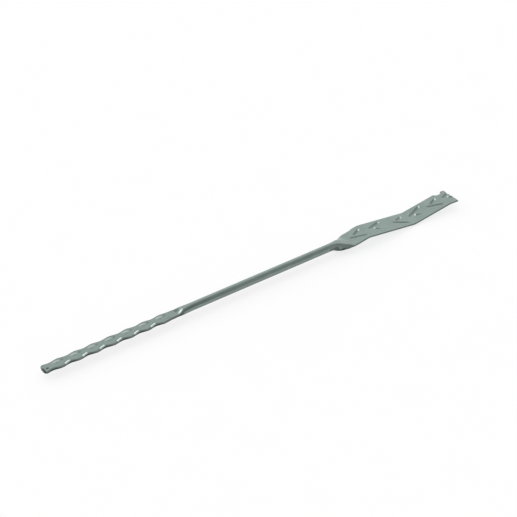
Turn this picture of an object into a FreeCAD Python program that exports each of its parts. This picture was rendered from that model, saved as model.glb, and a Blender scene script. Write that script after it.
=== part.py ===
import FreeCAD, Part
import math
import os

import Sketcher
from FreeCAD import Vector

# Cavity wall tie, formed from one strip of sheet steel.
# X runs along the tie from the crimped end to the blade, Y across it, and Z up from the surface it lies on.
# The strip is rolled into a tubular shank in the middle, pressed flat and crimped at one end,
# and left flat at the other end as a wavy blade with pressed ribs.

# Driving sizes, in millimetres and degrees
SIZES = (
    ("sheet_thickness", 0.8, "thickness of the strip"),
    ("shank_diameter", 5.0, "outside of the rolled shank"),
    ("shank_length", 97.5, "round part of the shank"),
    ("shank_axis", 5.035, "height of the shank's axis above the surface"),
    ("seam_gap", 0.5, "open seam between the strip's edges, underneath"),
    ("tip_length", 5.35, "end of the crimped part, up to its first neck"),
    ("tip_round", 1.6, "length over which the very end is rounded"),
    ("tip_width", 4.2, "width of the very end"),
    ("tip_side_width", 6.9, "width of the end behind its rounded corners"),
    ("crimp_count", 6, "pads between necks"),
    ("crimp_pitch", 11.3, "from one neck to the next"),
    ("crimp_steps", 8, "steps in which a pad widens and narrows"),
    ("pad_width", 8.1, "width at a pad, where the tube is pressed flat"),
    ("neck_width", 6.3, "width at a neck"),
    ("neck_height", 2.1, "height at a neck"),
    ("last_pad_length", 10.85, "last pad, which runs on to the shoulder"),
    ("last_pad_end_width", 6.9, "width where the last pad meets the shoulder"),
    ("shoulder_length", 16.0, "from flat to round"),
    ("shoulder_end_flat", 0.2, "flat still left where the shoulder meets the round shank"),
    ("shoulder_step", 0.1, "step in from the shank to the shoulder"),
    ("flare_steps", 6, "steps in which the strip opens from round to flat"),
    ("flare_open_at", 2.5, "place where the tube begins to open, from the end of the shank"),
    ("flare_drop_at", 8.5, "place where the top of the flare begins to drop, from the end of the shank"),
    ("flare_flat_at", 16.7, "place where the strip is flat, from the end of the shank"),
    ("flare_flat_level", 4.215, "middle of the sheet where the strip is flat"),
    ("near_step_at", 17.7, "place where the near side steps out to the blade, from the end of the shank"),
    ("far_step_at", 22.7, "place where the far side steps out to the blade, from the end of the shank"),
    ("blade_length", 99.3, "from the end of the shank to the end of the blade"),
    ("blade_width", 13.7, "width of the blade"),
    ("bend_radius", 12.0, "bends of the blade's wave"),
    ("crest_at", 28.0, "first crest of the wave, from the end of the shank"),
    ("crest_level", 6.135, "middle of the sheet where the runs meet at the first crest"),
    ("trough_at", 64.4, "trough of the wave, from the end of the shank"),
    ("trough_level", 0.865, "middle of the sheet where the runs meet in the trough"),
    ("last_crest_at", 6.5, "last crest of the wave, from the end of the blade"),
    ("last_crest_level", 5.135, "middle of the sheet where the runs meet at the last crest"),
    ("blade_end_level", 4.835, "middle of the sheet at the end"),
    ("rib_pairs", 6, "pairs of ribs along the blade"),
    ("rib_first_at", 23.2, "middle of the first pair of ribs, from the end of the shank"),
    ("rib_last_at", 1.6, "middle of the last pair of ribs, from the end of the blade"),
    ("rib_offset", 2.8, "middle of a rib, from the centre line"),
    ("rib_angle", 22.0, "slant of a rib to the centre line"),
    ("rib_length", 11.0, "length of a rib at the face of the sheet"),
    ("rib_crown_length", 7.0, "length of a rib along its crown"),
    ("rib_width", 2.0, "width of a rib at the face of the sheet"),
    ("rib_crown_width", 0.5, "width of a rib along its crown"),
    ("rib_height", 0.5, "height that a rib is pressed up or down"),
    ("rib_root", 0.2, "depth to which a rib's flanks run on past the face"),
    ("end_skew", 5.0, "angle by which the end is cut out of square"),
    ("notch_at", 6.6, "middle of the edge notch, from the end of the blade"),
    ("notch_length", 5.8, "length of the edge notch"),
    ("notch_depth", 2.0, "depth of the edge notch"),
)

doc = FreeCAD.newDocument("wall_tie")
sheet = doc.addObject("Spreadsheet::Sheet", "Sizes")
for row, (alias, number, note) in enumerate(SIZES, start=1):
    sheet.set(f"A{row}", note)
    sheet.set(f"B{row}", str(number))
    sheet.setAlias(f"B{row}", alias)
doc.recompute()
START = {alias: number for alias, number, note in SIZES}

# Places along X where one form of the strip passes into the next
TOTAL = ("(Sizes.tip_length + Sizes.crimp_count * Sizes.crimp_pitch + Sizes.last_pad_length"
         " + Sizes.shoulder_length + Sizes.shank_length + Sizes.blade_length)")
TIP = f"-{TOTAL} / 2"
CRIMPS = f"{TIP} + Sizes.tip_length"
LAST_PAD = f"{CRIMPS} + Sizes.crimp_count * Sizes.crimp_pitch"
SHOULDER = f"{LAST_PAD} + Sizes.last_pad_length"
SHANK = f"{SHOULDER} + Sizes.shoulder_length"
BLADE = f"{SHANK} + Sizes.shank_length"

# Sizes that follow from the driving ones
PAD_HEIGHT = "2 * Sizes.sheet_thickness"
SHANK_RADIUS = "Sizes.shank_diameter / 2"
SHANK_HALF_ANGLE = "(180 - asin(Sizes.seam_gap / Sizes.shank_diameter) / 1 deg)"
BLADE_HALF_WIDTH = "Sizes.blade_width / 2"
STRIP_HALF_WIDTH = f"(Sizes.shank_diameter - Sizes.sheet_thickness) / 2 * {SHANK_HALF_ANGLE} * pi / 180"

body = doc.addObject("PartDesign::Body", "formed_strip")
origin = {feature.Role: feature for feature in body.Origin.OriginFeatures}


def sheet_value(expression):
    """The number that an expression gives with the present sizes."""
    return float(sheet.evalExpression(expression))


def sketch_on(name, plane, along="0", up="0", turned=False):
    """A sketch on one of the body's planes, shifted along its normal and up, or turned to the near side."""
    sketch = body.newObject("Sketcher::SketchObject", name)
    sketch.AttachmentSupport = [(origin[plane], "")]
    sketch.MapMode = "FlatFace"
    half_turn = 180 if turned else 0
    sketch.AttachmentOffset = FreeCAD.Placement(Vector(), FreeCAD.Rotation(Vector(0, 1, 0), half_turn))
    sketch.setExpression("AttachmentOffset.Base.z", along)
    sketch.setExpression("AttachmentOffset.Base.y", up)
    return sketch


def drive(sketch, name, constraint, expression):
    """Adds a constraint whose value follows an expression."""
    index = sketch.addConstraint(constraint)
    sketch.renameConstraint(index, name)
    sketch.setExpression(f"Constraints.{name}", expression)


def flattened(name, along, width, height):
    """Cross-section of the pressed tube: two flats joined by two half rounds."""
    sketch = sketch_on(name, "YZ_Plane", along, "Sizes.shank_axis")
    half, radius = START["neck_width"] / 2, START["neck_height"] / 2
    right, left = Vector(half, 0), Vector(-half, 0)
    rise = Vector(0, radius)
    quarter = math.pi / 2
    across = Vector(0, 0, 1)
    top = sketch.addGeometry(Part.LineSegment(left + rise, right + rise))
    right_end = sketch.addGeometry(Part.ArcOfCircle(Part.Circle(right, across, radius), -quarter, quarter))
    bottom = sketch.addGeometry(Part.LineSegment(left - rise, right - rise))
    left_end = sketch.addGeometry(Part.ArcOfCircle(Part.Circle(left, across, radius), quarter, 3 * quarter))
    sketch.addConstraint([
        Sketcher.Constraint("Tangent", top, 2, right_end, 2),
        Sketcher.Constraint("Tangent", right_end, 1, bottom, 2),
        Sketcher.Constraint("Tangent", bottom, 1, left_end, 2),
        Sketcher.Constraint("Tangent", left_end, 1, top, 1),
        Sketcher.Constraint("Horizontal", top),
        Sketcher.Constraint("Equal", right_end, left_end),
        Sketcher.Constraint("Symmetric", left_end, 3, right_end, 3, -1, 1),
    ])
    drive(sketch, "end_radius", Sketcher.Constraint("Radius", right_end, radius), f"({height}) / 2")
    drive(sketch, "flat_length", Sketcher.Constraint("DistanceX", left_end, 3, right_end, 3, 2 * half),
          f"({width}) - ({height})")
    return sketch


def rolled(name, along, mid_radius, half_angle, top, start_radius, start_half_angle, turned=False):
    """Half cross-section of the strip bent to an arc, open underneath, with its upper face at the top."""
    sketch = sketch_on(name, "YZ_Plane", along, top, turned)
    half_sheet = START["sheet_thickness"] / 2
    outer, inner = start_radius + half_sheet, start_radius - half_sheet
    centre = Vector(0, -outer)
    last = math.pi / 2
    first = last - math.radians(start_half_angle)
    across = Vector(0, 0, 1)
    up = Vector(0, 1)
    toward_lip = Vector(math.cos(first), math.sin(first))
    outside = sketch.addGeometry(Part.ArcOfCircle(Part.Circle(centre, across, outer), first, last))
    lip = sketch.addGeometry(Part.LineSegment(centre + toward_lip * outer, centre + toward_lip * inner))
    inside = sketch.addGeometry(Part.ArcOfCircle(Part.Circle(centre, across, inner), first, last))
    middle = sketch.addGeometry(Part.LineSegment(centre + up * inner, centre + up * outer))
    sketch.addConstraint([
        Sketcher.Constraint("Coincident", outside, 2, -1, 1),
        Sketcher.Constraint("Coincident", outside, 3, inside, 3),
        Sketcher.Constraint("PointOnObject", outside, 3, -2),
        Sketcher.Constraint("PointOnObject", inside, 2, -2),
        Sketcher.Constraint("Coincident", outside, 1, lip, 1),
        Sketcher.Constraint("Coincident", lip, 2, inside, 1),
        Sketcher.Constraint("Coincident", inside, 2, middle, 1),
        Sketcher.Constraint("Coincident", middle, 2, outside, 2),
        Sketcher.Constraint("PointOnObject", outside, 3, lip),
    ])
    outer_radius = f"({mid_radius}) + Sizes.sheet_thickness / 2"
    drive(sketch, "outer_radius", Sketcher.Constraint("Radius", outside, outer), outer_radius)
    drive(sketch, "inner_radius", Sketcher.Constraint("Radius", inside, inner),
          f"({mid_radius}) - Sizes.sheet_thickness / 2")
    drive(sketch, "half_mouth", Sketcher.Constraint("DistanceX", -1, 1, outside, 1, toward_lip.x * outer),
          f"({outer_radius}) * sin({half_angle})")
    return sketch


def flat(name, along, level, half_width, turned):
    """Half cross-section of the flat strip, with the middle of the sheet at the level."""
    sketch = sketch_on(name, "YZ_Plane", along, level, turned)
    half, half_sheet = START["blade_width"] / 2, START["sheet_thickness"] / 2
    corners = [Vector(0, -half_sheet), Vector(half, -half_sheet),
               Vector(half, half_sheet), Vector(0, half_sheet)]
    sides = [sketch.addGeometry(Part.LineSegment(a, b)) for a, b in zip(corners, corners[1:] + corners[:1])]
    bottom, edge, top, middle = sides
    for side, following in zip(sides, sides[1:] + sides[:1]):
        sketch.addConstraint(Sketcher.Constraint("Coincident", side, 2, following, 1))
    sketch.addConstraint([
        Sketcher.Constraint("Horizontal", bottom),
        Sketcher.Constraint("Horizontal", top),
        Sketcher.Constraint("Vertical", edge),
        Sketcher.Constraint("Vertical", middle),
        Sketcher.Constraint("PointOnObject", middle, 1, -2),
    ])
    drive(sketch, "half_width", Sketcher.Constraint("DistanceX", bottom, 1, bottom, 2, half), half_width)
    drive(sketch, "above", Sketcher.Constraint("DistanceY", -1, 1, edge, 2, half_sheet),
          "Sizes.sheet_thickness / 2")
    drive(sketch, "thickness", Sketcher.Constraint("DistanceY", edge, 1, edge, 2, 2 * half_sheet),
          "Sizes.sheet_thickness")
    return sketch


def loft(name, sections, ruled=False):
    """Joins cross-sections by one smooth form, or by straight lines from one to the next."""
    feature = body.newObject("PartDesign::AdditiveLoft", name)
    feature.Profile = sections[0]
    feature.Sections = sections[1:]
    feature.Ruled = ruled
    return feature


# Shank: the strip rolled to a tube, with its open seam underneath
mid_radius = "(Sizes.shank_diameter - Sizes.sheet_thickness) / 2"
start_mid_radius = (START["shank_diameter"] - START["sheet_thickness"]) / 2
start_half_angle = 180 - math.degrees(math.asin(START["seam_gap"] / START["shank_diameter"]))
shank_top = "(Sizes.shank_axis + Sizes.shank_diameter / 2)"
shank_section = rolled("shank_section", SHANK, mid_radius, SHANK_HALF_ANGLE, shank_top,
                       start_mid_radius, start_half_angle)
shank = body.newObject("PartDesign::Pad", "shank")
shank.Profile = shank_section
shank.setExpression("Length", "Sizes.shank_length")

whole_shank = body.newObject("PartDesign::Mirrored", "whole_shank")
whole_shank.Originals = [shank]
whole_shank.MirrorPlane = (origin["XZ_Plane"], [""])
body.Tip = whole_shank

# Wave of the blade: straight runs that meet in rounded bends, after a flare that drops from the shank's top
FLARE_END = ("flare_end", "Sizes.flare_flat_at", "Sizes.flare_flat_level")
CREST = ("crest", "Sizes.crest_at", "Sizes.crest_level")
TROUGH = ("trough", "Sizes.trough_at", "Sizes.trough_level")
LAST_CREST = ("last_crest", "(Sizes.blade_length - Sizes.last_crest_at)", "Sizes.last_crest_level")
END = ("end", "Sizes.blade_length", "Sizes.blade_end_level")
WAVE = (FLARE_END, CREST, TROUGH, LAST_CREST, END)


def flare_top(place):
    """Upper face of the strip at a place on the flare: level with the shank's top, then a straight drop."""
    return (f"({shank_top} - ({shank_top} - Sizes.sheet_thickness / 2 - Sizes.flare_flat_level)"
            f" * max(0; {place} - Sizes.flare_drop_at) / (Sizes.flare_flat_at - Sizes.flare_drop_at))")


def first_run_level(place):
    """Middle of the sheet at a place on the blade's first run."""
    return (f"(Sizes.flare_flat_level + ({place} - Sizes.flare_flat_at)"
            " * (Sizes.crest_level - Sizes.flare_flat_level) / (Sizes.crest_at - Sizes.flare_flat_at))")


def wave_path(name, start):
    """Sketch of the wave from a start on the first run to the end of the blade."""
    sketch = sketch_on(name, "XZ_Plane")
    wave = (("start", start, first_run_level(start)),) + WAVE[1:]
    corners = [Vector(sheet_value(f"{BLADE} + {place}"), sheet_value(level)) for word, place, level in wave]
    headings = [(finish - begin).normalize() for begin, finish in zip(corners, corners[1:])]
    bends = []
    for corner, before, after in zip(corners[1:], headings, headings[1:]):
        turn = math.atan2(before.cross(after).z, before.dot(after))
        setback = START["bend_radius"] * math.tan(abs(turn) / 2)
        aside = Vector(-before.y, before.x) * math.copysign(START["bend_radius"], turn)
        enter, leave = corner - before * setback, corner + after * setback
        bends.append((enter, leave, enter + aside, turn))
    starts = [corners[0]] + [leave for enter, leave, centre, turn in bends]
    finishes = [enter for enter, leave, centre, turn in bends] + [corners[-1]]
    runs = [sketch.addGeometry(Part.LineSegment(begin, finish)) for begin, finish in zip(starts, finishes)]
    for index, (enter, leave, centre, turn) in enumerate(bends):
        word, place, level = wave[index + 1]
        corner = corners[index + 1]
        first_end, near_end, far_end = (enter, 1, 2) if turn > 0 else (leave, 2, 1)
        first = math.atan2(first_end.y - centre.y, first_end.x - centre.x)
        circle = Part.Circle(centre, Vector(0, 0, 1), START["bend_radius"])
        bend = sketch.addGeometry(Part.ArcOfCircle(circle, first, first + abs(turn)))
        meeting = sketch.addGeometry(Part.Point(corner), True)
        sketch.addConstraint([
            Sketcher.Constraint("Tangent", runs[index], 2, bend, near_end),
            Sketcher.Constraint("Tangent", bend, far_end, runs[index + 1], 1),
            Sketcher.Constraint("PointOnObject", meeting, 1, runs[index]),
            Sketcher.Constraint("PointOnObject", meeting, 1, runs[index + 1]),
        ])
        drive(sketch, f"{word}_radius", Sketcher.Constraint("Radius", bend, START["bend_radius"]),
              "Sizes.bend_radius")
        drive(sketch, f"{word}_x", Sketcher.Constraint("DistanceX", -1, 1, meeting, 1, corner.x),
              f"{BLADE} + {place}")
        drive(sketch, f"{word}_z", Sketcher.Constraint("DistanceY", -1, 1, meeting, 1, corner.y), level)
    for (word, place, level), run, end, point in ((wave[0], runs[0], 1, corners[0]),
                                                  (wave[-1], runs[-1], 2, corners[-1])):
        drive(sketch, f"{word}_x", Sketcher.Constraint("DistanceX", -1, 1, run, end, point.x),
              f"{BLADE} + {place}")
        drive(sketch, f"{word}_z", Sketcher.Constraint("DistanceY", -1, 1, run, end, point.y), level)
    return sketch


# Flare and blade, near and far half: the tube opens out to the flat strip, which steps out to the blade
for side, turned in (("near", True), ("far", False)):
    sections = [rolled(f"{side}_rolled_start", BLADE, mid_radius, SHANK_HALF_ANGLE, shank_top,
                       start_mid_radius, start_half_angle, turned)]
    for step in range(START["flare_steps"]):
        rolled_share = f"(1 - {step} / Sizes.flare_steps)"
        start_share = 1 - step / START["flare_steps"]
        place = f"(Sizes.flare_flat_at + (Sizes.flare_open_at - Sizes.flare_flat_at) * {rolled_share})"
        sections.append(rolled(f"{side}_mouth_{step}", f"{BLADE} + {place}", f"{mid_radius} / {rolled_share}",
                               f"{SHANK_HALF_ANGLE} * {rolled_share}", flare_top(place),
                               start_mid_radius / start_share, start_half_angle * start_share, turned))
    blade_start = f"Sizes.{side}_step_at"
    for word, place in (("flat", "Sizes.flare_flat_at"), ("step", blade_start)):
        sections.append(flat(f"{side}_{word}", f"{BLADE} + {place}", first_run_level(place),
                             STRIP_HALF_WIDTH, turned))
    loft(f"{side}_flare", sections, ruled=True)
    half_blade = body.newObject("PartDesign::AdditivePipe", f"{side}_blade")
    half_blade.Profile = flat(f"{side}_blade_section", f"{BLADE} + {blade_start}",
                              first_run_level(blade_start), BLADE_HALF_WIDTH, turned)
    half_blade.Spine = (wave_path(f"{side}_wave", blade_start), [])

# Shoulder: the tube is pinched from round to flat, with a small step where it meets the shank
SHOULDER_END = "(Sizes.shank_diameter - 2 * Sizes.shoulder_step)"
shoulder = loft("shoulder", [
    flattened("shoulder_flat", SHOULDER, "Sizes.last_pad_end_width", PAD_HEIGHT),
    flattened("shoulder_middle", f"{SHOULDER} + Sizes.shoulder_length / 2",
              f"(Sizes.last_pad_end_width + {SHOULDER_END}) / 2", f"({PAD_HEIGHT} + {SHOULDER_END}) / 2"),
    flattened("shoulder_round", SHANK, SHOULDER_END, f"{SHOULDER_END} - Sizes.shoulder_end_flat"),
])

# Crimped end: pads pressed flat and wide, with narrower and taller necks between them


def crimped(name, start, step):
    """Cross-section a few steps on from a neck: the tube is pressed flat and back again along a cosine."""
    pressed_share = f"(1 - cos({step} * 360 deg / Sizes.crimp_steps)) / 2"
    return flattened(name, f"{start} + {step} * Sizes.crimp_pitch / Sizes.crimp_steps",
                     f"Sizes.neck_width + (Sizes.pad_width - Sizes.neck_width) * {pressed_share}",
                     f"Sizes.neck_height + ({PAD_HEIGHT} - Sizes.neck_height) * {pressed_share}")


steps = range(START["crimp_steps"] + 1)
widening = steps[:len(steps) // 2 + 1]
last_pad_sections = [crimped(f"last_pad_section_{step}", LAST_PAD, step) for step in widening]
last_pad_sections.append(flattened("last_pad_end", SHOULDER, "Sizes.last_pad_end_width", PAD_HEIGHT))
last_pad = loft("last_pad", last_pad_sections, ruled=True)
crimp = loft("crimp", [crimped(f"crimp_section_{step}", CRIMPS, step) for step in steps], ruled=True)
crimps = body.newObject("PartDesign::LinearPattern", "crimps")
crimps.Originals = [crimp]
crimps.Direction = (origin["X_Axis"], [""])
crimps.setExpression("Length", "(Sizes.crimp_count - 1) * Sizes.crimp_pitch")
crimps.setExpression("Occurrences", "Sizes.crimp_count")
body.Tip = crimps
tip = loft("tip", [
    flattened("tip_end", TIP, "Sizes.tip_width", PAD_HEIGHT),
    flattened("tip_side", f"{TIP} + Sizes.tip_round", "Sizes.tip_side_width", PAD_HEIGHT),
    crimped("tip_neck", CRIMPS, 0),
], ruled=True)

# Ribs: slanted pairs in the blade, the far ones pressed down and the near ones alternately down and up,
# each a ridge on one face of the sheet and a hollow on the other
RUNS = list(zip(WAVE, WAVE[1:]))
SPREAD = "(1 + Sizes.rib_root / Sizes.rib_height)"
ROOT_LENGTH = f"(Sizes.rib_crown_length + (Sizes.rib_length - Sizes.rib_crown_length) * {SPREAD})"
ROOT_WIDTH = f"(Sizes.rib_crown_width + (Sizes.rib_width - Sizes.rib_crown_width) * {SPREAD})"
RIB_SIDES = (
    ("Xmin", f"-{ROOT_LENGTH} / 2"), ("Xmax", f"{ROOT_LENGTH} / 2"),
    ("X2min", "-Sizes.rib_crown_length / 2"), ("X2max", "Sizes.rib_crown_length / 2"),
    ("Ymin", "-Sizes.rib_root"), ("Ymax", "Sizes.rib_height"),
    ("Zmin", f"-{ROOT_WIDTH} / 2"), ("Zmax", f"{ROOT_WIDTH} / 2"),
    ("Z2min", "-Sizes.rib_crown_width / 2"), ("Z2max", "Sizes.rib_crown_width / 2"),
)
RIB_PITCH = "(Sizes.blade_length - Sizes.rib_first_at - Sizes.rib_last_at) / (Sizes.rib_pairs - 1)"
UPPER, LOWER = 1, -1
ridges, hollows = [], []
for pair in range(START["rib_pairs"]):
    place = f"(Sizes.rib_first_at + {pair} * {RIB_PITCH})"
    passed = [run for run in RUNS if sheet_value(run[0][1]) <= sheet_value(place)]
    (_, begin_at, begin_level), (_, finish_at, finish_level) = passed[-1]
    grade = f"(({finish_level}) - ({begin_level})) / (({finish_at}) - ({begin_at}))"
    level = f"({begin_level}) + ({place} - ({begin_at})) * {grade}"
    near_face = LOWER if pair % 2 == 0 else UPPER
    for side, sign, pressed_to in (("near", -1, near_face), ("far", 1, LOWER)):
        for face in (UPPER, LOWER):
            rib = doc.addObject("Part::Wedge", f"rib_{pair}_{side}_{'upper' if face == UPPER else 'lower'}")
            for name, expression in RIB_SIDES:
                rib.setExpression(name, expression)
            rib.setExpression("Placement", (
                f"create(<<placement>>; create(<<vector>>; {BLADE} + {place}; {sign} * Sizes.rib_offset;"
                f" {level} + {face} * Sizes.sheet_thickness / 2);"
                f" create(<<rotation>>; create(<<vector>>; 0; 1; 0); -atan({grade}))"
                f" * create(<<rotation>>; create(<<vector>>; 0; 0; 1); {sign} * Sizes.rib_angle)"
                f" * create(<<rotation>>; create(<<vector>>; 1; 0; 0); {pressed_to} * 90))"))
            (ridges if face == pressed_to else hollows).append(rib)

# End of the blade, cut out of square, and the notch in its far edge
BLADE_END = f"{BLADE} + Sizes.blade_length"
trim = doc.addObject("Part::Box", "end_cut")
trim.setExpression("Length", "Sizes.rib_length")
trim.setExpression("Width", "2 * Sizes.blade_width")
trim.setExpression("Height", "2 * Sizes.last_crest_level")
trim.setExpression("Placement", (
    f"create(<<placement>>; create(<<vector>>; {BLADE_END} + Sizes.blade_width / 2 * sin(Sizes.end_skew);"
    " -Sizes.blade_width / 2 * (1 + cos(Sizes.end_skew)); 0);"
    " create(<<rotation>>; create(<<vector>>; 0; 0; 1); Sizes.end_skew))"))
notch = doc.addObject("Part::Wedge", "edge_notch")
for side, expression in (
    ("Xmin", "Sizes.notch_depth"), ("Xmax", "Sizes.notch_length"),
    ("X2min", "0"), ("X2max", "Sizes.notch_length"),
    ("Ymin", "0"), ("Ymax", "Sizes.notch_depth"),
    ("Zmin", "0"), ("Zmax", "2 * Sizes.last_crest_level"),
    ("Z2min", "0"), ("Z2max", "2 * Sizes.last_crest_level"),
):
    notch.setExpression(side, expression)
notch.setExpression("Placement", (
    f"create(<<placement>>; create(<<vector>>; {BLADE_END} - Sizes.notch_at - Sizes.notch_length / 2;"
    " Sizes.blade_width / 2 - Sizes.notch_depth; 0); create(<<rotation>>; create(<<vector>>; 0; 0; 1); 0))"))

raised = doc.addObject("Part::MultiFuse", "strip_with_ridges")
raised.Shapes = [body] + ridges
pressed = doc.addObject("Part::MultiFuse", "cuts")
pressed.Shapes = hollows + [trim, notch]
tie = doc.addObject("Part::Cut", "wall_tie")
tie.Base = raised
tie.Tool = pressed
tie.Label = "wall_tie"
doc.recompute()

# Every object has to be sound before the solid is written
for item in doc.Objects:
    if "Invalid" in item.State or "Error" in item.State:
        raise RuntimeError(f"{item.Name} failed: {item.State}")
if tie.Shape.isNull() or not tie.Shape.isValid() or len(tie.Shape.Solids) != 1:
    raise RuntimeError("the tie isn't one sound solid")
os.makedirs("parts", exist_ok=True)
tie.Shape.exportStep(f"parts/{tie.Label}.step")
print(tie.Label, tie.Shape.Volume, tie.Shape.BoundBox)
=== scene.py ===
import math

import bpy
import numpy as np
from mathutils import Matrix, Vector


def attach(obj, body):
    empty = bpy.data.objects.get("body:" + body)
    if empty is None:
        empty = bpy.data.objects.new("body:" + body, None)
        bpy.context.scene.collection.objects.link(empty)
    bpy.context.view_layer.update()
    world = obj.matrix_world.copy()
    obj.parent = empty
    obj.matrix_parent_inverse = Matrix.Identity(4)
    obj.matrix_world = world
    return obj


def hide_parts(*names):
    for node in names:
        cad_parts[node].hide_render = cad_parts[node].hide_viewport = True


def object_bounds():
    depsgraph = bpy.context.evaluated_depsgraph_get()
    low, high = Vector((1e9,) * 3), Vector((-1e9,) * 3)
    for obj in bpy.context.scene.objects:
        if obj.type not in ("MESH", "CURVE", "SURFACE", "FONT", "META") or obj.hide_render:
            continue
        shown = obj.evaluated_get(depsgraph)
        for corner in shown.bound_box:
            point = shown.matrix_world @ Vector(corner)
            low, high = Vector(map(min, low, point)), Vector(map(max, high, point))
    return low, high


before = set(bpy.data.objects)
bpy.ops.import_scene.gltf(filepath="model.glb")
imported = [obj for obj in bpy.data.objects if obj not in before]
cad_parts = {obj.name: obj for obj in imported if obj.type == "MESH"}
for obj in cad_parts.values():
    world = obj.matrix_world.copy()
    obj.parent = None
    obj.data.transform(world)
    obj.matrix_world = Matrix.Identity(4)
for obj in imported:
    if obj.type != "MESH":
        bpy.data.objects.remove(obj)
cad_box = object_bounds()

# Tie: one strip of sheet steel, bent and pressed cold from end to end, left as bare dull metal.
# The middle is rolled into a tube with its butt seam underneath. The tail is that tube pressed flat and
# crimped from both sides, and at the other end the tube opens out into a flat wavy blade with pressed ribs.

# Sizes in millimetres, turns in radians; X runs from the tail's tip to the blade's end, Y to the far side
TIP, END = (1000 * corner[0] for corner in cad_box)
SHEET = 0.8
AXIS_HEIGHT = 5.035
SHANK_RADIUS = 2.5
MIDDLE_RADIUS = SHANK_RADIUS - SHEET / 2
HALF_SEAM = 0.22
HALF_TURN = math.radians(174.3)
SHOULDER, SHANK, FLARE = -64.4, -48.4, 49.1


def ease(share):
    """Smooth step: 0 below 0, 1 above 1, and three squares less two cubes in between."""
    share = np.clip(share, 0, 1)
    return share * share * (3 - 2 * share)


def band(offset, half_width, edge):
    """A soft stripe: it eases from 1 to 0 over one half width, and is gone at edge times the half width."""
    return ease(edge - np.abs(offset) / half_width)


def spot(ahead, aside, half_length, half_width, edge):
    """A soft oval: a band of the distance from its middle, counted in half lengths and half widths."""
    return band(np.hypot(ahead / half_length, aside / half_width), 1, edge)


def turned(ahead, aside, degrees):
    """Places along and across a line that slants by so many degrees, from places ahead and aside."""
    cosine, sine = math.cos(math.radians(degrees)), math.sin(math.radians(degrees))
    return ahead * cosine + aside * sine, aside * cosine - ahead * sine


# The tail: seven necks at an even pitch, with a pad after each
NECKS = 7
FIRST_NECK, CRIMP_PITCH = -143.05, 11.3
LAST_NECK = FIRST_NECK + (NECKS - 1) * CRIMP_PITCH
LAST_PAD = LAST_NECK + CRIMP_PITCH / 2
PAD_WIDTH, PAD_HEIGHT = 8.05, 1.62
NECK_WIDTH, NECK_HEIGHT = 6.3, 2.1
SHOULDER_WIDTH = 6.9
TIP_WIDTH, TIP_ROUNDING = 3.2, 2.4
RELIEF_HEIGHT = 0.4
SWELLING_ASIDE = 1.2
RIDGE_LENGTH = 3.9
TOP_TILT = 0.3


def pressed_tube(x):
    """Width and height of the closed tube along X.

    Between necks the width swells by half a cosine and the height drops to two sheets; the height falls
    off faster on the tail side of a neck than on the shank side. After the last pad the width narrows
    evenly to the shoulder and eases into the round shank, and the height rises in two eased steps. The tip
    is rounded by a quarter of an ellipse.
    """
    turn = (x - FIRST_NECK) / CRIMP_PITCH
    from_neck = (turn + 0.5) % 1 - 0.5
    swell = (1 - np.cos(2 * np.pi * turn)) / 2
    hump = ease(1 - np.abs(from_neck) / np.where(from_neck < 0, 0.34, 0.42))
    crimped_width = NECK_WIDTH + (PAD_WIDTH - NECK_WIDTH) * swell
    crimped_height = PAD_HEIGHT + (NECK_HEIGHT - PAD_HEIGHT) * hump

    past = x - SHOULDER
    narrowed = np.interp(x, (LAST_PAD, SHOULDER), (PAD_WIDTH, SHOULDER_WIDTH))
    closed_width = narrowed + (2 * SHANK_RADIUS - SHOULDER_WIDTH) * ease(past / (SHANK - SHOULDER))
    rise = 0.75 * ease((past - 3.9) / 5.2) + 0.25 * ease((past - 6.4) / 10)
    closed_height = PAD_HEIGHT + (2 * SHANK_RADIUS - PAD_HEIGHT) * rise

    width = np.where(x > LAST_PAD, closed_width, crimped_width)
    height = np.where(x > LAST_PAD, closed_height, crimped_height)
    rounding = np.sqrt(1 - np.clip(1 - (x - TIP) / TIP_ROUNDING, 0, 1) ** 2)
    return TIP_WIDTH + (width - TIP_WIDTH) * rounding, height


def place_on_pad(x, y):
    """Three places on the tail: how far X is from the middle of its pad, how far it is before the next neck,
    and how far Y is in from the near edge of the flat top."""
    width, height = pressed_tube(x)
    from_middle = (x - FIRST_NECK) % CRIMP_PITCH - CRIMP_PITCH / 2
    before_neck = (FIRST_NECK - x) % CRIMP_PITCH
    return from_middle, before_neck, y + (width - height) / 2


def pads(x, y, tilt):
    """Relief on top of the tail: a low swelling on the far half of each pad, and on the near side before each
    neck a ridge that starts with a steep step and runs out at the neck. Both fade out round the sides."""
    from_middle, before_neck, inward = place_on_pad(x, y)
    swelling = spot(from_middle + 1.4, y - SWELLING_ASIDE, 3.2, 1.6, 1)
    ridge = ease((RIDGE_LENGTH - before_neck) / 1.1) * (0.3 + 0.7 * before_neck / RIDGE_LENGTH)
    ridge = ridge * ease(before_neck / 0.8) * ease((1.2 - inward) / 0.8)
    on_pads = (x > FIRST_NECK - 1) & (x < SHOULDER)
    return RELIEF_HEIGHT * (swelling + ridge) * (1 - ease(tilt - 0.2)) * on_pads


def pad_highlight(x, y, tilt):
    """Share of painted highlight on the tail: full along the near side's ridges, part on the pads'
    swellings, and a slanted glint where the shoulder rises."""
    from_middle, before_neck, inward = place_on_pad(x, y)
    # Painted highlights: a bright streak on each near ridge, a pale oval on each swelling, a glint on the
    # shoulder
    streak = ease((RIDGE_LENGTH - 0.2 - before_neck) / 0.4) * ease((before_neck + 0.2) / 0.8)
    streak = streak * ease((0.75 - inward) / 0.35) * (1 - ease((tilt - 0.6) / 0.3)) * (x < LAST_NECK)
    oval = 0.3 * spot(from_middle + 1.5, y - SWELLING_ASIDE, 1.9, 0.75, 1.6)
    oval = oval * (tilt < TOP_TILT) * (x < SHOULDER)
    glint = spot(*turned(x - SHOULDER - 6.7, y + 1.4, 23), 1.8, 0.45, 1.5) * (tilt < 1.3)
    return np.maximum((streak + oval) * (x > FIRST_NECK), glint)


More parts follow.
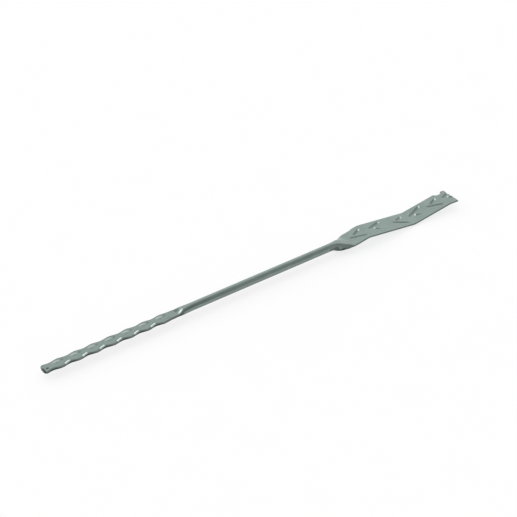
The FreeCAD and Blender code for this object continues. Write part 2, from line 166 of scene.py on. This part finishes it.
def tail_film_and_shade(x, y, tilt, side):
    """Share of darkening on the tail: a thin dark film all over, and painted shade on the sides, round the
    tip, along the far rim, on the shoulder, in a spot near the tip, in a line by the near ridges and in the
    hollows beside the highlighted places. The darkest counts."""
    from_middle, before_neck, inward = place_on_pad(x, y)
    on_top = tilt < TOP_TILT
    on_pads = on_top & (x > FIRST_NECK) & (x < SHOULDER)
    # All but thin are painted shade: dark hollows, a dark line by each near ridge, a dark spot near the tip
    # in place of a dent's shade, and dark sides, tip, far rim and shoulder
    hollow = 0.35 * spot(from_middle - 2.2, y - SWELLING_ASIDE, 1.1, 0.9, 1.5) * on_pads
    line = 0.6 * band(inward - 1.05, 0.3, 1.4) * on_pads
    line = line * ease((RIDGE_LENGTH - before_neck) / 0.4) * ease(before_neck / 1.6)
    tip_spot = 0.8 * spot(x - TIP - 2.8, y + 1, 0.9, 0.7, 1.6) * on_top
    tip_side = 0.9 * ease(TIP + 1.5 - x) * ease((1.2 - y) / 1.5)
    sides = np.where(side < 0, ease((tilt - 0.9) / 0.35), 0.6 * ease((tilt - 0.2) / 0.4))
    far_rim = 0.35 * ease((y - pressed_tube(x)[0] / 2 + 1.5) / 0.5)
    shoulder = 0.6 * spot(x - SHOULDER - 5.6, y - 1, 1.7, 1.2, 1.6)
    thin = np.full_like(y, 0.06)
    return np.maximum.reduce([thin, hollow, line, tip_spot, tip_side, sides, far_rim, shoulder])


# The flare and the blade: the strip opens, and its near side has a flat top, a crease and a straight flank
STRIP_HALF = MIDDLE_RADIUS * HALF_TURN
BOX_MARGIN = 0.02
BLADE_HALF = 1000 * cad_box[1][1] - BOX_MARGIN
FLANK_TILT = math.radians(56.3)
LIP, BLADE, FAR_STEP = FLARE + 10.7, FLARE + 12.9, FLARE + 22.1
RIB_PLACES = (72.4, 87.8, 105.8, 120.2, 133.6, 147.0)
# The second number of these two is the strength of the painted highlight on a rib's steep end
STEEP, RIB_HIGHLIGHT = 0.55, 0.62
NOTCH_START, NOTCH_FINISH, NOTCH_DEPTH = END - 10.1, END - 3.7, 1.9
END_SKEW, CUT_LENGTH = math.radians(5), 6


def tube_shade(x, tilt, side, reach):
    """Share of painted shade on the shank and the flare: on the lower sides all along, in a band on the near
    side beside the shoulder, and on the flare's flanks and lips. The darkest counts."""
    past = x - FLARE
    # Painted shade: darker the more a face turns down, in a band on the near side by the shoulder, and on the
    # flare's flanks and lips
    sides = 0.36 * ease((tilt - 1.05) / 0.4) + 0.64 * ease((tilt - 1.85) / 0.3)
    near_band = 0.35 * band(tilt - 0.85, 0.3, 1.5) * (side < 0) * (1 - ease((x - SHANK + 1.6) / 30))
    flank = 0.12 * ease((reach - 0.5) / 0.2) * ease(past / 4) * (1 - ease((past - 13.5) / 3))
    lip = np.maximum(0.85 * ease((reach - 0.78) / 0.12), 0.8 * ease((tilt - 0.95) / 0.6))
    lip = lip * ease((past + 0.5) / 2) * (1 - ease((past - 9) / 4))
    return np.maximum.reduce([sides, near_band, flank, lip])


def wave(x):
    """Height of the middle of the strip's centre line: level along the shank's top, then straight runs down
    to the flare's end, up to a crest, down to the trough, up to the last crest and down to the end, with the
    corners averaged round."""
    corners = (
        (FLARE + 8.5, AXIS_HEIGHT + MIDDLE_RADIUS),
        (FLARE + 16.8, 4.215),
        (FLARE + 28, 6.135),
        (FLARE + 64.4, 0.915),
        (END - 6.5, 5.135),
        (END, 4.835),
    )
    fine = np.arange(FLARE - 20, END + 20, 0.1)
    reach = 21
    weights = np.hanning(2 * reach + 1)
    runs = np.pad(np.interp(fine, *zip(*corners)), reach, mode="edge")
    return np.interp(x, fine, np.convolve(runs, weights / weights.sum(), "valid"))


def far_lean(x, reach):
    """How far the far side turns down: evenly from the top to the edge, by half a turn in the shank and
    opening evenly along X to nothing in the blade."""
    opened = np.clip((x - FLARE - 2.5) / 14.1, 0, 1)
    return HALF_TURN * (1 - opened) * reach


def near_lean(x, reach):
    """How far the near side turns down: as the far side in the shank, and then by a crease between a flat top
    that widens evenly along X and a straight flank, which flattens out where the blade begins."""
    past = x - FLARE
    opened = ease((past - 2.5) / 7)
    flat = np.clip((past - 3.2) / 15.7, 0, 0.95)
    flank = np.clip((reach - flat) / (1 - flat), 0, 1)
    edge_tilt = (HALF_TURN + (FLANK_TILT - HALF_TURN) * opened) * (1 - ease((past - 13) / 5))
    return edge_tilt * ((1 - opened) * flank + opened * ease(flank / 0.22))


def far_width(x):
    """The strip's width from its middle to the far edge: one step out to the blade, and a notch near the end
    with a slanted start and a steep finish."""
    notch = NOTCH_DEPTH * np.clip((x - NOTCH_START) / 2, 0, 1) * ease((NOTCH_FINISH - x) / 0.9)
    return STRIP_HALF + (BLADE_HALF - STRIP_HALF) * ease((x - FAR_STEP) / 1.2) - notch


def near_width(x):
    """The strip's width from its middle to the near edge: most of the way out to the blade in the flare, the
    rest on the blade, and a little more on the lip in between."""
    share = 0.85 * ease((x - FLARE - 3.4) / 6) + 0.15 * ease((x - BLADE - 4.5) / 2)
    lip = 0.9 * band(x - LIP, 3.4, 1.5)
    return STRIP_HALF + (BLADE_HALF - STRIP_HALF) * (share + lip)


def ribs(x, y):
    """Height of the pressed ribs over the blade, and the share of painted highlight at their steep ends.

    The ribs are slanted pairs, each rib a rounded ridge or hollow with eased ends. Far ribs are hollows and
    end steeply on the right. Near ribs are long hollows and, in every other pair, ridges that start steeply
    on the left. A rib's numbers: its middle from the pair's place, along and across, its slant in degrees,
    half length, half breadth and height, and the lengths over which its two ends ease in and out.
    """
    odd_pair = ((0.5, 2.1, 22, 3.5, 1.1, -0.55, 2.4, STEEP), (0.4, -1.8, -25, 7.2, 0.9, -0.5, 3.0, 4.0))
    even_pair = ((-1.0, 2.5, 19, 6.3, 1.1, -0.55, 3.0, STEEP), (0.6, -1.0, -20, 2.7, 1.1, 0.45, STEEP, 3.8))
    height, bright = np.zeros_like(y), np.zeros_like(y)
    for pair, place in enumerate(RIB_PLACES):
        for rib in (odd_pair, even_pair)[pair % 2]:
            ahead, aside, degrees, half_length, half_breadth, rise, start, finish = rib
            along, across = turned(x - place - ahead, y - aside, degrees)
            bulge = (1 + np.cos(np.pi * np.clip(across / half_breadth, -1, 1))) / 2
            ends = ease((along + half_length) / start) * ease((half_length - along) / finish)
            height += rise * bulge * ends
            # A painted highlight on each steep end of a rib
            if STEEP in (start, finish):
                steep_end = (half_length - STEEP / 2) * (1 if finish == STEEP else -1)
                bright += RIB_HIGHLIGHT * bulge * band(along - steep_end, 0.45, 1.7)
    return height, bright


# Both faces of the strip, with its film, painted shade and painted highlights
FACE_POINTS = 59
TAIL_STEP, BLADE_STEP = 0.34, 0.22


def tie_surface():
    """Both faces of the strip, on a grid of stations along X and points across it from near to far edge.

    The tube's middle line runs from its seam up round the top and down to the seam again, as two flats joined
    by two half rounds. In the flare and blade it is summed up from the top to both edges, in steps that lean
    as each side turns down. The faces lie half a sheet to either side of that line. The end is cut askew,
    with a ragged edge made of two sines. The shares of painted highlight and of dark film with painted shade
    come with the faces; the strip's edges and the tip's cut are darkened fully as painted shade.
    """
    opening = FLARE - 1
    x = np.concatenate((
        np.linspace(TIP, TIP + 2, 14),
        np.arange(TIP + 2.3, SHANK, TAIL_STEP),
        np.linspace(SHANK, opening, 24),
        np.arange(opening + 0.3, END - 0.1, BLADE_STEP),
        [END],
    ))[:, None]
    across = np.linspace(-1, 1, FACE_POINTS)
    side, reach = np.sign(across), np.abs(across)

    width, height = pressed_tube(x)
    radius = (height - SHEET) / 2
    flat = ((width - height) / 2).clip(0)
    path = reach * (2 * flat + np.pi * radius - HALF_SEAM)
    tube_turn = np.clip((path - flat) / radius, 0, np.pi)
    under = (path - flat - np.pi * radius).clip(0)
    tube_y = side * (np.minimum(path, flat) + radius * np.sin(tube_turn) - under)
    tube_z = AXIS_HEIGHT + radius * np.cos(tube_turn)

    open_turn = np.where(side < 0, near_lean(x, reach), far_lean(x, reach))
    lean = side * open_turn
    lean = (lean[:, 1:] + lean[:, :-1]) / 2
    top = FACE_POINTS // 2
    step = np.where(side[1:] > 0, far_width(x), near_width(x)) / top
    open_y = np.pad(np.cumsum(step * np.cos(lean), axis=1), ((0, 0), (1, 0)))
    open_z = np.pad(np.cumsum(-step * np.sin(lean), axis=1), ((0, 0), (1, 0)))
    open_y = open_y - open_y[:, [top]]
    open_z = open_z - open_z[:, [top]] + wave(x)

    is_open = x > opening
    y = np.where(is_open, open_y, tube_y)
    z = np.where(is_open, open_z, tube_z)
    tilt = np.where(is_open, open_turn, tube_turn)
    along = x + np.zeros_like(y)
    outward = np.stack((np.zeros_like(y), side * np.sin(tilt), np.cos(tilt)), -1) * SHEET / 2

    on_blade = along > BLADE
    rib_height, rib_highlight = ribs(along, y)
    pressed = np.where(on_blade, rib_height, pads(along, y, tilt))
    # Share of painted highlight: on the blade's rib ends and on the tail
    painted_highlight = np.where(on_blade, rib_highlight, pad_highlight(along, y, tilt))
    on_tube = ease((along - SHOULDER - 5.9) / 4)
    # Thin dark film and painted shade from the tail and the tube, blended at the shoulder; the strip's edges
    # and the tip's cut are darkened fully as painted shade
    film_and_shade = tail_film_and_shade(along, y, tilt, side) * (1 - on_tube) + tube_shade(along, tilt, side, reach) * on_tube
    film_and_shade[:, [0, -1]] = 1
    film_and_shade[:, 1] = np.maximum(film_and_shade[:, 1], 0.7)
    film_and_shade[0] = 1

    ragged = 0.12 * np.sin(1.9 * y) + 0.08 * np.sin(4.7 * y + 1)
    cut = (y + BLADE_HALF) * math.tan(END_SKEW) + 0.2 + ragged
    shift = cut * np.clip((along - END) / CUT_LENGTH + 1, 0, 1)
    middle = np.stack((along - shift, y, z + pressed), -1)
    return middle + outward, middle - outward, painted_highlight, film_and_shade


# One closed loop at each station, over the outside and back along the inside, with a cap at either end
outside, inside, painted_highlight, film_and_shade = tie_surface()
stations = len(outside)
loop = np.concatenate((outside, inside[:, ::-1]), axis=1)
around = loop.shape[1]
number = np.arange(stations * around).reshape(stations, around)
following = np.roll(number, -1, axis=1)
walls = np.stack((number[:-1], number[1:], following[1:], following[:-1]), -1).reshape(-1, 4)
points = np.arange(FACE_POINTS - 1)
cap = np.stack((points, points + 1, around - 2 - points, around - 1 - points), -1)
faces = np.concatenate((walls, cap, cap[:, ::-1] + (stations - 1) * around))
mesh = bpy.data.meshes.new("tie")
mesh.from_pydata((loop.reshape(-1, 3) / 1000).tolist(), [], faces.tolist())
# Painted shade inside the tube: its inner face is darkened fully, fading out in the flare
bore_shade = 1 - ease((outside[:, :, 0] - FLARE - 2) / 14)
# Outer faces carry the painted highlight and the film with painted shade; inner faces carry only the bore's
# painted shade
for name, outer, inner in (("painted_highlight", painted_highlight, 0 * painted_highlight), ("film_and_shade", film_and_shade, bore_shade)):
    mesh.attributes.new(name, "FLOAT", "POINT").data.foreach_set(
        "value", np.concatenate((outer, inner), axis=1).astype(np.float32).ravel())
mesh.shade_smooth()
mesh.set_sharp_from_angle(angle=math.radians(35))
tie = bpy.data.objects.new("tie", mesh)
bpy.context.collection.objects.link(tie)

# Dull rolled steel with a drawn grain, darkened by a thin film and by painted shade, and brightened by
# painted highlights
DARK_STEEL, PALE_STEEL = (0.258, 0.326, 0.302, 1), (0.35, 0.425, 0.397, 1)
# The first of these two colours is for the thin film and the painted shade, the second for the painted
# highlights
DARK_FILM_AND_SHADE, HIGHLIGHT_STEEL = (0.04, 0.055, 0.047, 1), (0.87, 0.98, 0.93, 1)
steel = bpy.data.materials.new("tie_steel")
steel.use_nodes = True
nodes, links = steel.node_tree.nodes, steel.node_tree.links
shader = nodes["Principled BSDF"]
shader.inputs["Metallic"].default_value = 1.0
place = nodes.new("ShaderNodeTexCoord")
drawn = nodes.new("ShaderNodeMapping")
drawn.inputs["Scale"].default_value = (260, 1500, 1500)
links.new(place.outputs["Object"], drawn.inputs["Vector"])
grain = nodes.new("ShaderNodeTexNoise")
grain.inputs["Scale"].default_value = 1.0
grain.inputs["Detail"].default_value = 4
links.new(drawn.outputs["Vector"], grain.inputs["Vector"])
patches = nodes.new("ShaderNodeTexNoise")
patches.inputs["Scale"].default_value = 160
links.new(place.outputs["Object"], patches.inputs["Vector"])
tint = nodes.new("ShaderNodeMix")
tint.data_type = "RGBA"
tint.inputs["A"].default_value = DARK_STEEL
tint.inputs["B"].default_value = PALE_STEEL
links.new(patches.outputs["Fac"], tint.inputs["Factor"])
colour = tint.outputs["Result"]
# Darken by the film and painted shade, then brighten by the painted highlights
for name, shade in (("film_and_shade", DARK_FILM_AND_SHADE), ("painted_highlight", HIGHLIGHT_STEEL)):
    amount = nodes.new("ShaderNodeAttribute")
    amount.attribute_name = name
    covered = nodes.new("ShaderNodeMix")
    covered.data_type = "RGBA"
    covered.inputs["B"].default_value = shade
    links.new(amount.outputs["Fac"], covered.inputs["Factor"])
    links.new(colour, covered.inputs["A"])
    colour = covered.outputs["Result"]
links.new(colour, shader.inputs["Base Color"])
dulling = nodes.new("ShaderNodeMapRange")
dulling.inputs["To Min"].default_value = 0.2
dulling.inputs["To Max"].default_value = 0.36
links.new(grain.outputs["Fac"], dulling.inputs["Value"])
scuffing = nodes.new("ShaderNodeMath")
scuffing.operation = "MULTIPLY_ADD"
scuffing.inputs[1].default_value = 0.22
links.new(amount.outputs["Fac"], scuffing.inputs[0])
links.new(dulling.outputs["Result"], scuffing.inputs[2])
links.new(scuffing.outputs["Value"], shader.inputs["Roughness"])
relief = nodes.new("ShaderNodeBump")
relief.inputs["Strength"].default_value = 0.12
relief.inputs["Distance"].default_value = 0.0002
links.new(grain.outputs["Fac"], relief.inputs["Height"])
links.new(relief.outputs["Normal"], shader.inputs["Normal"])
mesh.materials.append(steel)
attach(tie, "root")
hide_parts("wall_tie")

# Floor: a wide sheet of white paper that the tie lies on, lit until it is plain white.
# It fills the whole picture and keeps the soft shadow under the tie.
FLOOR_HALF = 6
floor_mesh = bpy.data.meshes.new("floor")
floor_corners = [(x * FLOOR_HALF, y * FLOOR_HALF, 0) for x, y in ((-1, -1), (1, -1), (1, 1), (-1, 1))]
floor_mesh.from_pydata(floor_corners, [], [(0, 1, 2, 3)])
floor = bpy.data.objects.new("floor", floor_mesh)
bpy.context.collection.objects.link(floor)
paper = bpy.data.materials.new("paper")
paper.use_nodes = True
paper_nodes, paper_links = paper.node_tree.nodes, paper.node_tree.links
paper_shader = paper_nodes["Principled BSDF"]
paper_shader.inputs["Roughness"].default_value = 0.9
paper_place = paper_nodes.new("ShaderNodeTexCoord")
fibre = paper_nodes.new("ShaderNodeTexNoise")
fibre.inputs["Scale"].default_value = 40
paper_links.new(paper_place.outputs["Object"], fibre.inputs["Vector"])
paper_tint = paper_nodes.new("ShaderNodeMix")
paper_tint.data_type = "RGBA"
paper_tint.inputs["A"].default_value = (0.94, 0.94, 0.94, 1)
paper_tint.inputs["B"].default_value = (0.97, 0.97, 0.97, 1)
paper_links.new(fibre.outputs["Fac"], paper_tint.inputs["Factor"])
paper_links.new(paper_tint.outputs["Result"], paper_shader.inputs["Base Color"])
glow = paper_nodes.new("ShaderNodeEmission")
glow.inputs["Strength"].default_value = 1.155
ray = paper_nodes.new("ShaderNodeLightPath")
seen = ray.outputs["Is Camera Ray"]
for other in ("Is Glossy Ray", "Is Transmission Ray"):
    either = paper_nodes.new("ShaderNodeMath")
    either.use_clamp = True
    paper_links.new(seen, either.inputs[0])
    paper_links.new(ray.outputs[other], either.inputs[1])
    seen = either.outputs["Value"]
whitened = paper_nodes.new("ShaderNodeMath")
whitened.operation = "MULTIPLY"
whitened.inputs[1].default_value = 0.65
paper_links.new(seen, whitened.inputs[0])
lit = paper_nodes.new("ShaderNodeMixShader")
paper_links.new(whitened.outputs["Value"], lit.inputs["Fac"])
paper_links.new(paper_shader.outputs["BSDF"], lit.inputs[1])
paper_links.new(glow.outputs["Emission"], lit.inputs[2])
paper_links.new(lit.outputs["Shader"], paper_nodes["Material Output"].inputs["Surface"])
floor_mesh.materials.append(paper)

# Light: the pale walls of a plain room, brighter on the far side than behind the camera.
# A window at the far left adds to them, and the painted highlights on the metal catch it.
world = bpy.data.worlds.new("room")
bpy.context.scene.world = world
world.use_nodes = True
room_nodes, room_links = world.node_tree.nodes, world.node_tree.links
heading = room_nodes.new("ShaderNodeTexCoord")
parts = room_nodes.new("ShaderNodeSeparateXYZ")
room_links.new(heading.outputs["Generated"], parts.inputs["Vector"])


def ramp(axis, low, high, dim, bright):
    """Strength that eases from dim to bright while the heading's part along an axis goes from low to high."""
    level = room_nodes.new("ShaderNodeMapRange")
    level.interpolation_type = "SMOOTHSTEP"
    for name, value in (("From Min", low), ("From Max", high), ("To Min", dim), ("To Max", bright)):
        level.inputs[name].default_value = value
    room_links.new(parts.outputs[axis], level.inputs["Value"])
    return level.outputs["Result"]


window_left = ramp("X", 0.2, -0.3, 0.0, 0.55)
window_far = ramp("Y", -0.1, 0.4, 0.0, 1.0)
walls_level = ramp("Y", -0.1, 0.55, 0.46, 0.93)
total = room_nodes.new("ShaderNodeMath")
total.operation = "MULTIPLY_ADD"
for socket, level in zip(total.inputs, (window_left, window_far, walls_level)):
    room_links.new(level, socket)
sky = room_nodes["Background"]
sky.inputs["Color"].default_value = (1, 1, 1, 1)
room_links.new(total.outputs["Value"], sky.inputs["Strength"])

# Camera: a long lens about a metre away, above the near side and towards the tail.
# It looks down along the tie, which lies slantwise across the square picture.
azimuth, elevation, distance = math.radians(-34.2), math.radians(38.33), 0.9975
target = Vector((0.01241, 0.02062, 0.000225))
level_back = Vector((math.sin(azimuth), -math.cos(azimuth), 0))
back = level_back * math.cos(elevation) + Vector((0, 0, math.sin(elevation)))
camera_data = bpy.data.cameras.new("camera")
camera_data.lens = 112.87
camera_data.clip_start = 0.01
camera = bpy.data.objects.new("camera", camera_data)
camera.location = target + back * distance
camera.rotation_euler = back.to_track_quat("Z", "Y").to_euler()
bpy.context.collection.objects.link(camera)
scene = bpy.context.scene
scene.camera = camera
scene.view_settings.view_transform = "Standard"
